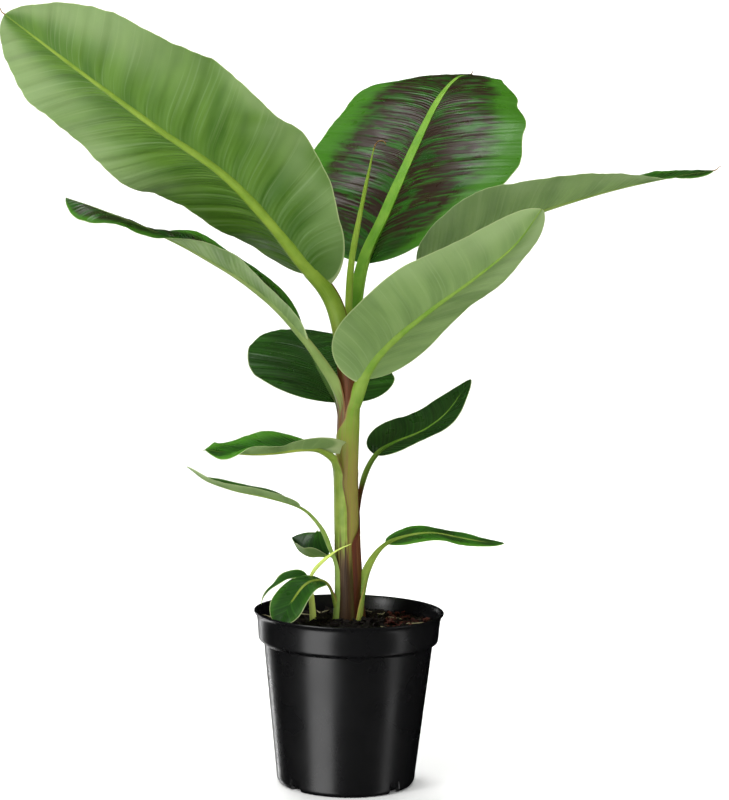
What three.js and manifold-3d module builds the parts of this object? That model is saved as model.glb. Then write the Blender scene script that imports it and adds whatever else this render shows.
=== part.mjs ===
// A young banana plant in a nursery pot. Millimetres, +Z up, the front looks along -Y.
// The middle of the pot's flat underside is the origin.
import * as THREE from 'three';
import Module from 'manifold-3d';

const wasm = await Module();
wasm.setup();

const GAP = 0.3; // clearance kept between pieces that touch
const SOIL_TOP = 195; // soil level
const BLADE_EDGE = 1.2; // thickness of a leaf at its margin
const PIXIE = 1e-4;

// ---------- solids ----------

// A closed body from rings of equal length; both ends are closed over a middle point.
function skin(rings) {
  const n = rings[0].length;
  const points = rings.flat();
  const faces = [];
  for (let i = 0; i + 1 < rings.length; i++) {
    for (let j = 0; j < n; j++) {
      const a = i * n + j, b = i * n + (j + 1) % n;
      faces.push([a, b, b + n], [a, b + n, a + n]);
    }
  }
  for (const [row, flip] of [[0, true], [rings.length - 1, false]]) {
    const middle = new THREE.Vector3();
    rings[row].forEach((p) => middle.addScaledVector(p, 1 / n));
    const m = points.push(middle) - 1;
    for (let j = 0; j < n; j++) {
      const a = row * n + j, b = row * n + (j + 1) % n;
      faces.push(flip ? [m, b, a] : [m, a, b]);
    }
  }
  return solid(points, faces);
}

// A body of revolution about Z; the profile runs from one point on the axis to another.
function spin(profile, sides) {
  const points = [], rows = [];
  for (const [r, z] of profile) {
    if (r < PIXIE) rows.push([points.push(new THREE.Vector3(0, 0, z)) - 1]);
    else {
      rows.push(Array.from({ length: sides }, (_, k) => {
        const a = (k + 0.5) / sides * 2 * Math.PI;
        return points.push(new THREE.Vector3(r * Math.cos(a), r * Math.sin(a), z)) - 1;
      }));
    }
  }
  const faces = [];
  for (let i = 0; i + 1 < rows.length; i++) {
    const a = rows[i], b = rows[i + 1];
    for (let k = 0; k < sides; k++) {
      const q = (k + 1) % sides;
      if (a.length === 1) faces.push([a[0], b[q], b[k]]);
      else if (b.length === 1) faces.push([a[k], a[q], b[0]]);
      else faces.push([a[k], a[q], b[q]], [a[k], b[q], b[k]]);
    }
  }
  return solid(points, faces);
}

// Turns points and faces into a solid that faces outward.
function solid(points, faces) {
  let volume = 0;
  for (const [a, b, c] of faces) {
    volume += points[a].dot(new THREE.Vector3().crossVectors(points[b], points[c]));
  }
  const wound = volume < 0 ? faces.map(([a, b, c]) => [a, c, b]) : faces;
  return new wasm.Manifold(new wasm.Mesh({
    numProp: 3,
    vertProperties: Float32Array.from(points.flatMap((p) => p.toArray())),
    triVerts: Uint32Array.from(wound.flat()),
  }));
}

function largest(body) {
  return body.decompose().sort((a, b) => b.volume() - a.volume())[0];
}

function node(name, body, colour) {
  const mesh = body.getMesh();
  const geometry = new THREE.BufferGeometry();
  geometry.setAttribute('position', new THREE.BufferAttribute(Float32Array.from(mesh.vertProperties), 3));
  geometry.setIndex(Array.from(mesh.triVerts));
  geometry.computeVertexNormals();
  const made = new THREE.Mesh(geometry, new THREE.MeshStandardMaterial({ color: colour, roughness: 0.6 }));
  made.name = name;
  return made;
}

// ---------- curves ----------

const path = (points) => {
  const curve = new THREE.CatmullRomCurve3(
    points.map((p) => new THREE.Vector3(...p)), false, 'catmullrom', 0.5);
  curve.arcLengthDivisions = 600;
  return curve;
};

// A value along a length, given at evenly spaced stations and eased between them.
function ease(values, u) {
  if (values.length === 1) return values[0];
  const x = u * (values.length - 1);
  const i = Math.min(Math.floor(x), values.length - 2);
  const f = x - i, s = f * f * (3 - 2 * f);
  return values[i] * (1 - s) + values[i + 1] * s;
}

// The direction along a path, the way its upper face looks, and its right-hand side.
function frame(curve, s, rollDegrees) {
  const along = curve.getTangentAt(s);
  const face = new THREE.Vector3(0, 0, 1).addScaledVector(along, -along.z).normalize();
  const side = new THREE.Vector3().crossVectors(along, face);
  const roll = THREE.MathUtils.degToRad(rollDegrees);
  const c = Math.cos(roll), k = Math.sin(roll);
  return {
    along,
    face: face.clone().multiplyScalar(c).addScaledVector(side, k),
    side: side.clone().multiplyScalar(c).addScaledVector(face, -k),
  };
}

// A limb that tapers from one radius to another between two shares of a path.
function limb(curve, from, to, radii, steps, sides, grow = 0) {
  const rings = [];
  for (let i = 0; i <= steps; i++) {
    const s = from + (to - from) * i / steps;
    const centre = curve.getPointAt(s);
    const along = curve.getTangentAt(s);
    const across = new THREE.Vector3(0, 1, 0).addScaledVector(along, -along.y).normalize();
    const other = new THREE.Vector3().crossVectors(along, across);
    const r = ease(radii, i / steps) + grow;
    rings.push(Array.from({ length: sides }, (_, k) => {
      const a = (k + 0.5) / sides * 2 * Math.PI;
      return centre.clone().addScaledVector(across, r * Math.cos(a)).addScaledVector(other, r * Math.sin(a));
    }));
  }
  return skin(rings);
}

// ---------- leaves ----------

// path: middle line from the stem to the tip. blade: share of the path where the leaf blade starts.
// left, right: half widths. widest, base, tip: where the outline is widest and how blunt its ends are.
// fold: how far each half stands up from flat, curl: how far its margin bends back down, in degrees.
// roll: turn about the middle line, in degrees. stalk: radii of the stalk from the stem to the blade.
const LEAVES = [
  {
    name: 'upper_left', stalk: [10, 9, 6.5], blade: 0.16, widest: 0.5, base: 2.8, tip: 2.4,
    path: [[-10, -4, 545], [-24, -10, 600], [-69, -45, 659], [-150, -115, 747], [-233, -170, 803],
      [-312, -215, 858], [-390, -250, 914]],
    left: [125, 128, 130, 128, 122], right: [95, 100, 115, 120, 115], roll: [20, 24, 28],
    foldLeft: [25, 12, 12], foldRight: [30, 12, 10], curlLeft: [20], curlRight: [20],
  },
  {
    name: 'back', stalk: [9, 8, 7], blade: 0.17, widest: 0.52, base: 3.4, tip: 2.6,
    path: [[0, 8, 565], [6, 30, 646], [34, 72, 718], [70, 140, 805], [104, 215, 880], [133, 295, 922],
      [158, 365, 938]],
    left: [150, 145, 130, 115], right: [180, 160, 115, 90], roll: [0],
    foldLeft: [30, 12, 8], foldRight: [20, 8, 4], curlLeft: [20], curlRight: [20],
  },
  {
    name: 'far_right', stalk: [8, 7, 5.5], blade: 0.26, widest: 0.38, base: 2.4, tip: 1.8,
    path: [[2, 2, 545], [28, -4, 609], [93, -10, 662], [166, -18, 699], [233, -25, 725], [298, -30, 746],
      [366, -38, 763], [434, -45, 775]],
    left: [72], right: [80], roll: [0],
    foldLeft: [15, 12, 20, 20], foldRight: [42, 38, 20, -15], curlLeft: [10], curlRight: [10],
  },
  {
    name: 'front_right', stalk: [9, 9, 7], blade: 0.14, widest: 0.42, base: 3.6, tip: 2.2,
    path: [[4, -16, 465], [14, -28, 522], [41, -62, 554], [92, -120, 600], [135, -165, 634],
      [180, -205, 674], [207, -232, 714]],
    left: [68, 66, 60, 60], right: [73], roll: [-28],
    foldLeft: [30, 34, 34], foldRight: [6], curlLeft: [10], curlRight: [10],
  },
  {
    name: 'middle_left', stalk: [9, 8, 6], blade: 0.22, widest: 0.45, base: 2.6, tip: 2.2,
    path: [[-15, -8, 483], [-30, -14, 520], [-74, -30, 576], [-125, -45, 621], [-186, -60, 658],
      [-249, -70, 688], [-309, -75, 711], [-350, -80, 724]],
    left: [58], right: [58], roll: [0],
    foldLeft: [15, 12, 5, -18, -22], foldRight: [30, 32, 25, 8, 0], curlLeft: [10], curlRight: [15],
  },
  {
    name: 'low_back', stalk: [7, 6, 5], blade: 0.17, widest: 0.45, base: 2.8, tip: 2.4,
    path: [[-8, 14, 440], [-16, 30, 472], [-28, 60, 492], [-38, 105, 518], [-48, 160, 545],
      [-55, 215, 565], [-60, 245, 574]],
    left: [95], right: [92], roll: [0],
    foldLeft: [10], foldRight: [5], curlLeft: [15], curlRight: [15],
  },
  {
    name: 'low_right', stalk: [5.5, 4.5, 3.5], blade: 0.31, widest: 0.4, base: 2.8, tip: 1.9,
    path: [[6, 8, 345], [12, 14, 373], [21, 22, 398], [34, 32, 416], [53, 42, 427], [77, 52, 436],
      [99, 62, 447], [124, 74, 468], [152, 88, 508]],
    left: [52, 52, 44, 32], right: [34], roll: [28, 25, 20],
    foldLeft: [0], foldRight: [25], curlLeft: [10], curlRight: [10],
  },
  {
    name: 'low_left', stalk: [7, 6, 4.5], blade: 0.37, widest: 0.5, base: 2.4, tip: 2.6,
    path: [[-10, -12, 345], [-20, -18, 386], [-27, -24, 403], [-36, -34, 415], [-46, -46, 424],
      [-67, -65, 425], [-96, -88, 422], [-122, -108, 422], [-146, -128, 425], [-172, -145, 429]],
    left: [46], right: [46], roll: [0],
    foldLeft: [12, 20, 15, -8, -15], foldRight: [25, 25, 22, 8, 0], curlLeft: [10], curlRight: [10],
  },
  {
    name: 'lower_left', stalk: [5.5, 4.5, 3.5], blade: 0.4, widest: 0.4, base: 2.4, tip: 2,
    path: [[-14, -10, 265], [-26, -14, 301], [-39, -26, 328], [-61, -42, 351], [-98, -65, 365],
      [-140, -92, 376], [-172, -113, 389], [-195, -126, 407]],
    left: [30], right: [30], roll: [0],
    foldLeft: [5], foldRight: [15, 12, 8], curlLeft: [5], curlRight: [5],
  },
  {
    name: 'small_back', stalk: [4.5, 4, 3], blade: 0.35, widest: 0.45, base: 2.6, tip: 2.4,
    path: [[-10, 12, 262], [-20, 26, 288], [-34, 46, 302], [-56, 74, 304], [-74, 98, 299]],
    left: [36], right: [30], roll: [0],
    foldLeft: [-50], foldRight: [-5], curlLeft: [10], curlRight: [10],
  },
  {
    name: 'lower_right', stalk: [8, 6, 3.5], blade: 0.43, widest: 0.42, base: 2.2, tip: 1.8,
    path: [[15, 4, 200], [18, 8, 241], [24, 13, 267], [41, 22, 297], [68, 30, 308], [104, 40, 312],
      [142, 50, 305], [175, 56, 299], [199, 60, 298]],
    left: [34], right: [29], roll: [14],
    foldLeft: [0], foldRight: [6], curlLeft: [10], curlRight: [10],
  },
  {
    name: 'base_left', stalk: [6, 5, 3.5], blade: 0.37, widest: 0.6, base: 2.2, tip: 3,
    path: [[-12, -10, 205], [-20, -16, 240], [-34, -26, 257], [-51, -38, 256], [-67, -50, 246],
      [-80, -58, 233], [-88, -64, 220]],
    left: [32], right: [34], roll: [10],
    foldLeft: [0], foldRight: [5], curlLeft: [10], curlRight: [10],
  },
];

// Share of the full half width at u along a blade: round at the base, narrowing to the tip.
function outline(leaf, u) {
  return u < leaf.widest
    ? Math.max(0, 1 - ((leaf.widest - u) / leaf.widest) ** leaf.base) ** 0.5
    : Math.max(0, 1 - ((u - leaf.widest) / (1 - leaf.widest)) ** leaf.tip) ** 0.62;
}

// Across a half of a blade, the angle from flat goes from the fold to the fold less the curl.
function half(leaf, u, share, sign) {
  const fold = THREE.MathUtils.degToRad(ease(sign > 0 ? leaf.foldRight : leaf.foldLeft, u));
  const curl = THREE.MathUtils.degToRad(ease(sign > 0 ? leaf.curlRight : leaf.curlLeft, u));
  const width = ease(sign > 0 ? leaf.right : leaf.left, u) * outline(leaf, u);
  let out = 0, up = 0;
  const STEPS = 12;
  for (let i = 0; i < STEPS; i++) {
    const angle = fold - curl * share * (i + 0.5) / STEPS;
    out += Math.cos(angle) * share / STEPS;
    up += Math.sin(angle) * share / STEPS;
  }
  return [sign * out * width, up * width];
}

// A thin blade of the leaf's outline with its thicker middle rib below.
function blade(leaf, steps, shares) {
  const curve = path(leaf.path);
  const ribStart = leaf.stalk[2];
  const rings = [];
  for (let i = 0; i <= steps; i++) {
    const u = (1 - Math.cos(Math.PI * i / steps)) / 2;
    const s = leaf.blade + (1 - leaf.blade) * u;
    const centre = curve.getPointAt(s);
    const { face, side } = frame(curve, s, ease(leaf.roll, u));
    const rib = ribStart * (1 - u) + 0.8 * u;
    const least = rib * 0.9;
    const upper = [], lower = [];
    for (const v of shares) {
      let [out, up] = half(leaf, u, Math.abs(v), Math.sign(v) || 1);
      if (Math.abs(out) < least * Math.abs(v)) out = Math.sign(v) * least * Math.abs(v);
      const deep = v === 0 ? Math.max(BLADE_EDGE, rib * 1.6) : BLADE_EDGE;
      const p = centre.clone().addScaledVector(side, out).addScaledVector(face, up + rib * 0.5);
      upper.push(p);
      lower.unshift(p.clone().addScaledVector(face, -deep));
    }
    rings.push([...upper, ...lower]);
  }
  return skin(rings);
}

const WIDE = [1, 0.7, 0.35, 0.12, 0, -0.12, -0.35, -0.7, -1];
const SMALL = [1, 0.5, 0.15, 0, -0.15, -0.5, -1];

// ---------- stem ----------

const STEM = path([[1, 0, SOIL_TOP + GAP], [-1, 0, 240], [-4, 0, 300], [-7, 0, 382], [-6, 0, 455],
  [-6, 0, 520], [-9, 0, 570]]);
const STEM_RADII = [22, 18, 16.5, 16, 16, 15.5, 13];

function stem(grow) {
  const steps = 11;
  const body = limb(STEM, 0, 1, STEM_RADII, steps, 14, grow);
  // the foot is cut flat at soil level
  return body.trimByPlane([0, 0, 1], SOIL_TOP + GAP - grow);
}

// ---------- pot and soil ----------

const WALL = 1.8;
const POT_SIDES = 44;
const POT = {
  height: 217, lip: 120, underLip: 116.5, band: 113.5, bandFoot: 178, shoulder: 105.8, foot: 87.5,
};

function pot() {
  const body = spin([
    [0, 0], [POT.foot - 5, 0], [POT.foot - 1.2, 2.2], [POT.foot, 7], [POT.shoulder, POT.bandFoot - 6],
    [POT.band, POT.bandFoot], [POT.underLip, POT.height - 6], [POT.lip - 0.8, POT.height - 5],
    [POT.lip, POT.height - 2.5], [POT.lip - 1, POT.height - 0.4], [POT.lip - 3, POT.height],
    [POT.underLip - WALL, POT.height - 2.5], [POT.band - WALL, POT.bandFoot + 1],
    [POT.shoulder - WALL, POT.bandFoot - 5], [POT.foot - WALL, 7], [POT.foot - 5, 2.4], [0, 2.4],
  ], POT_SIDES);
  // four drain slots through the corner between the wall and the floor
  let cut = body;
  for (let k = 0; k < 4; k++) {
    const slot = wasm.Manifold.cube([16, 10, 9], true)
      .translate([POT.foot - 1, 0, 3.5])
      .rotate([0, 0, 45 + 90 * k]);
    cut = cut.subtract(slot);
  }
  return cut;
}

function soil() {
  const in1 = WALL + GAP;
  return spin([
    [0, 2.4 + GAP], [POT.foot - 6, 2.4 + GAP], [POT.foot - in1 - 0.4, 7.5],
    [POT.shoulder - in1 - 0.2, POT.bandFoot - 5], [POT.band - in1 - 0.3, POT.bandFoot + 1.2],
    [POT.band - in1 + 0.9, SOIL_TOP], [0, SOIL_TOP],
  ], POT_SIDES);
}

// ---------- the plant ----------

const GREEN = '#7d9b46', DARK_GREEN = '#355a2a', STALK_GREEN = '#93a552', STEM_BROWN = '#7b6a3c';
const group = new THREE.Group();
group.name = 'banana_plant';
group.add(node('pot', pot(), '#1e1e20'), node('soil', soil(), '#2a201a'));
group.add(node('stem', stem(0), STEM_BROWN));

// Each stalk is cut back clear of the stem and of the stalks before it.
const taken = [stem(GAP)];
function clearOf(body) {
  let kept = body;
  for (const other of taken) kept = kept.subtract(other);
  return largest(kept);
}

// the rolled new leaf that stands in the middle of the crown
const SPEAR = path([[-7, 2, 555], [-8, 4, 608], [-5, 9, 662], [7, 14, 734], [19, 20, 799]]);
const spear = (grow) => limb(SPEAR, 0, 1, [5, 4.6, 4, 2.6, 0.8], 8, 8, grow);
group.add(node('rolled_leaf', clearOf(spear(0)), GREEN));
taken.push(spear(GAP));

for (const leaf of LEAVES) {
  const curve = path(leaf.path);
  const length = curve.getLength();
  const big = length > 350;
  const stalk = (grow) => limb(curve, 0, leaf.blade - GAP / length, leaf.stalk, big ? 6 : 5, 8, grow);
  group.add(node(`stalk_${leaf.name}`, clearOf(stalk(0)), STALK_GREEN));
  taken.push(stalk(GAP));
}
for (const leaf of LEAVES) {
  const big = path(leaf.path).getLength() > 270;
  const made = blade(leaf, big ? 12 : 9, big ? WIDE : SMALL);
  group.add(node(`leaf_${leaf.name}`, made, leaf.name === 'upper_left' ? GREEN : DARK_GREEN));
}

// the side shoot: its stem, one narrow curled leaf and one still folded
const SHOOT = path([[-44, 2, SOIL_TOP + GAP], [-46, 0, 225], [-47, -2, 262]]);
const shoot = limb(SHOOT, 0, 1, [4.6, 4.2, 3.2], 4, 8).trimByPlane([0, 0, 1], SOIL_TOP + GAP);
group.add(node('shoot_stem', shoot, '#a9bd4a'));

const SHOOT_LEAF = {
  blade: 0, stalk: [2, 2, 2], widest: 0.3, base: 2, tip: 1.6, roll: [5],
  path: [[-51, -3, 267], [-62, -6, 272], [-79, -9, 269], [-95, -12, 258], [-106, -14, 240]],
  left: [7, 9, 4, 2], right: [7, 9, 4, 2], foldLeft: [20], foldRight: [20], curlLeft: [10], curlRight: [10],
};
group.add(node('leaf_shoot', blade(SHOOT_LEAF, 8, SMALL), DARK_GREEN));
const FOLDED = path([[-46, -4, 265.5], [-42, -14, 274], [-32, -27, 287], [-17, -33, 296], [0, -36, 304]]);
group.add(node('shoot_folded_leaf', limb(FOLDED, 0, 1, [2.4, 3, 2.6, 1.2, 0.6], 7, 6), GREEN));

export default group;
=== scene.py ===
"""A young banana plant in a black nursery pot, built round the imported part.

Lengths in the tables are millimetres and turn to metres when a mesh is written.
"""

import math

import bpy
import numpy as np
from bpy.props import FloatProperty, FloatVectorProperty, IntProperty, PointerProperty
from mathutils import Matrix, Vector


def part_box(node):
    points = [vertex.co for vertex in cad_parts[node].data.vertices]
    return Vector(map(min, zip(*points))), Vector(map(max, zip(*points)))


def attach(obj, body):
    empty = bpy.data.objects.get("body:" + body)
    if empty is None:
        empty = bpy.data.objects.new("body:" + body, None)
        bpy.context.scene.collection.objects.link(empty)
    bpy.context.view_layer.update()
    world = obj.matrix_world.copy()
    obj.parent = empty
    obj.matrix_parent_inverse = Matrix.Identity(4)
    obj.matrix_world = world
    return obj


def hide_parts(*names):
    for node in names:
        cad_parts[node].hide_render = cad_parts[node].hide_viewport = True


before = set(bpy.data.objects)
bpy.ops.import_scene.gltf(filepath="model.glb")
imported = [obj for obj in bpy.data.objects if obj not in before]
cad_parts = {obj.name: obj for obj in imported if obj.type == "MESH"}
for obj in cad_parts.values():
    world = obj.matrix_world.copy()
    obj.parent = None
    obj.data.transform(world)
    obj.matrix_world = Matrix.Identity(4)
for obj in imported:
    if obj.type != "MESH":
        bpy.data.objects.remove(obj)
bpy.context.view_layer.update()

bl_info = {
    "name": "Potted banana plant",
    "version": (1, 0, 0),
    "blender": (4, 5, 0),
    "location": "3D View > Sidebar > Plant",
    "description": "Builds a young banana plant, its pot and its stage",
    "category": "Add Mesh",
}

MM = 0.001
UP = np.array([0.0, 0.0, 1.0])
TURN = 2 * np.pi


def linear(hex_colour):
    """An sRGB hex colour as linear red, green, blue and alpha."""
    c = np.array([int(hex_colour[i : i + 2], 16) / 255 for i in (1, 3, 5)])
    c = np.where(c <= 0.04045, c / 12.92, ((c + 0.055) / 1.055) ** 2.4)
    return (float(c[0]), float(c[1]), float(c[2]), 1.0)


# ---------------------------------------------------------------- curves


CURVE_STEPS = 1201


def sampled(points):
    """A uniform Catmull-Rom curve through the points, its ends reflected: places and their lengths."""
    p = np.asarray(points, float)
    q = np.vstack([2 * p[0] - p[1], p, 2 * p[-1] - p[-2]])
    t = np.linspace(0, len(p) - 1, CURVE_STEPS)
    i = np.minimum(t.astype(int), len(p) - 2)
    f = (t - i)[:, None]
    a, b, c, d = q[i], q[i + 1], q[i + 2], q[i + 3]
    square, cube = (2 * a - 5 * b + 4 * c - d) * f**2, (3 * b - a - 3 * c + d) * f**3
    place = 0.5 * (2 * b + (c - a) * f + square + cube)
    step = np.linalg.norm(np.diff(place, axis=0), axis=1)
    return place, np.concatenate([[0], np.cumsum(step)])


def along(points, share):
    """Places and unit directions at shares of the curve's length, and that length."""
    place, length = sampled(points)
    total = length[-1]
    at = np.asarray(share) * total

    def read(where):
        where = np.clip(where, 0, total)
        return np.stack([np.interp(where, length, place[:, k]) for k in range(3)], -1)

    d = read(at + 0.004 * total) - read(at - 0.004 * total)
    return read(at), d / np.linalg.norm(d, axis=1, keepdims=True), total


def smooth(x):
    """Eases from 0 to 1 as x does, with flat ends."""
    x = np.clip(x, 0, 1)
    return x * x * (3 - 2 * x)


def eased(values, u):
    """Values at evenly spaced stations, eased between them."""
    values = np.asarray(values, float)
    if len(values) == 1:
        return np.full(np.shape(u), values[0])
    x = np.clip(u, 0, 1) * (len(values) - 1)
    i = np.minimum(x.astype(int), len(values) - 2)
    return values[i] + (values[i + 1] - values[i]) * smooth(x - i)


def crossframe(direction, outward, roll):
    """The way a limb's upper face looks and its right-hand side. Up, leaned back from the way the leaf
    heads by `outward`, is made square to the path, then both turn about the path by roll."""
    reference = UP - outward
    face = reference - direction * np.sum(reference * direction, 1, keepdims=True)
    face /= np.linalg.norm(face, axis=1, keepdims=True)
    side = np.cross(direction, face)
    c, s = np.cos(roll)[:, None], np.sin(roll)[:, None]
    return face * c + side * s, side * c - face * s


def carried(centre, side, face, x, y):
    """A profile carried along a path: x to the path's side and y to its face."""
    return centre[:, None] + side[:, None] * x[..., None] + face[:, None] * y[..., None]


def ripple(x, seed, lengths, heights):
    """A sum of sine waves with seeded phases."""
    phase = np.random.default_rng(seed).uniform(0, TURN, len(lengths))
    return sum(h * np.sin(TURN * x / w + p) for w, h, p in zip(lengths, heights, phase))


# ---------------------------------------------------------------- meshes


def mesh_object(name, verts, faces, materials, index=None, attributes=None, sharp=50):
    """Writes a mesh in metres from arrays in millimetres, smooth but for edges over `sharp` degrees."""
    mesh = bpy.data.meshes.new(name)
    mesh.from_pydata((np.asarray(verts) * MM).tolist(), [], [f.tolist() for f in faces])
    for m in materials:
        mesh.materials.append(m)
    if index is not None:
        mesh.polygons.foreach_set("material_index", np.asarray(index, np.int32))
    for key, values in (attributes or {}).items():
        layer = mesh.attributes.new(key, "FLOAT", "POINT")
        layer.data.foreach_set("value", np.ascontiguousarray(values, np.float32).ravel())
    mesh.shade_smooth()
    mesh.set_sharp_from_angle(angle=math.radians(sharp))
    mesh.update()
    piece = bpy.data.objects.new(name, mesh)
    bpy.context.scene.collection.objects.link(piece)
    return piece


def skin_faces(rows, count):
    """Quads between closed rings and a fan of triangles over each end; each end's middle point follows
    the rings' points."""
    i, j = np.meshgrid(np.arange(rows - 1), np.arange(count), indexing="ij")
    a, b = i * count + j, i * count + (j + 1) % count
    quads = np.stack([a, b, b + count, a + count], -1).reshape(-1, 4)
    k = np.arange(count)
    low, high = rows * count, rows * count + 1
    first = np.stack([np.full(count, low), (k + 1) % count, k], -1)
    top = (rows - 1) * count
    last = np.stack([np.full(count, high), top + k, top + (k + 1) % count], -1)
    return quads, first, last


def skin(name, rings, materials, index=None, attributes=None, sharp=50):
    """A closed surface over rings (rows, points, 3) that face outwards when read along the path."""
    rows, count = rings.shape[:2]
    quads, first, last = skin_faces(rows, count)
    ends = np.stack([rings[0].mean(0), rings[-1].mean(0)])
    verts = np.vstack([rings.reshape(-1, 3), ends])
    a, b, c = verts[quads[:, 0]], verts[quads[:, 1]], verts[quads[:, 2]]
    turned = np.sum(np.cross(b - a, c - a) * (a - verts.mean(0))) < 0
    faces = [quads, first, last]
    if turned:
        faces = [f[:, ::-1] for f in faces]
    full = {}
    for key, values in (attributes or {}).items():
        v = np.broadcast_to(values, (rows, count))
        full[key] = np.concatenate([v.ravel(), [v[0].mean(), v[-1].mean()]])
    if index is not None:
        part = np.broadcast_to(index, (rows - 1, count)).ravel()
        index = np.concatenate([part, np.zeros(2 * count, int) + int(index[0])])
    return mesh_object(name, verts, [*faces[0], *faces[1], *faces[2]], materials, index, full, sharp)


def hand_in(piece, slot, *nodes):
    """Rides the piece on the one body and stands it for its CAD nodes; the slot it is given is not used."""
    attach(piece, "root")
    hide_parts(*nodes)
    return piece


# ---------------------------------------------------------------- material nodes

# Settings that many nodes share: one colour over another, and a range turned into another, its ends eased.
OVER = dict(kind="Mix", data_type="RGBA", out=2)
EASED_RANGE = dict(kind="MapRange", interpolation_type="SMOOTHSTEP")


def fill(tree, node, inputs):
    """Fills a node's sockets, given in order or by name or number: a socket is linked, a value is set."""
    for key, source in inputs.items() if isinstance(inputs, dict) else enumerate(inputs):
        if isinstance(source, bpy.types.NodeSocket):
            tree.links.new(source, node.inputs[key])
        else:
            node.inputs[key].default_value = source


def put(tree, inputs, kind, out=0, **settings):
    """Adds a node with its settings and links and returns its output `out`."""
    made = tree.nodes.new("ShaderNode" + kind)
    for key, setting in settings.items():
        setattr(made, key, setting)
    fill(tree, made, inputs)
    return made.outputs[out]


def new_material(name):
    """A material with one Principled surface; returns it, its tree and that surface."""
    made = bpy.data.materials.new(name)
    made.use_nodes = True
    tree = made.node_tree
    return made, tree, tree.nodes["Principled BSDF"]


# ---------------------------------------------------------------- the plant's measures

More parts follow.
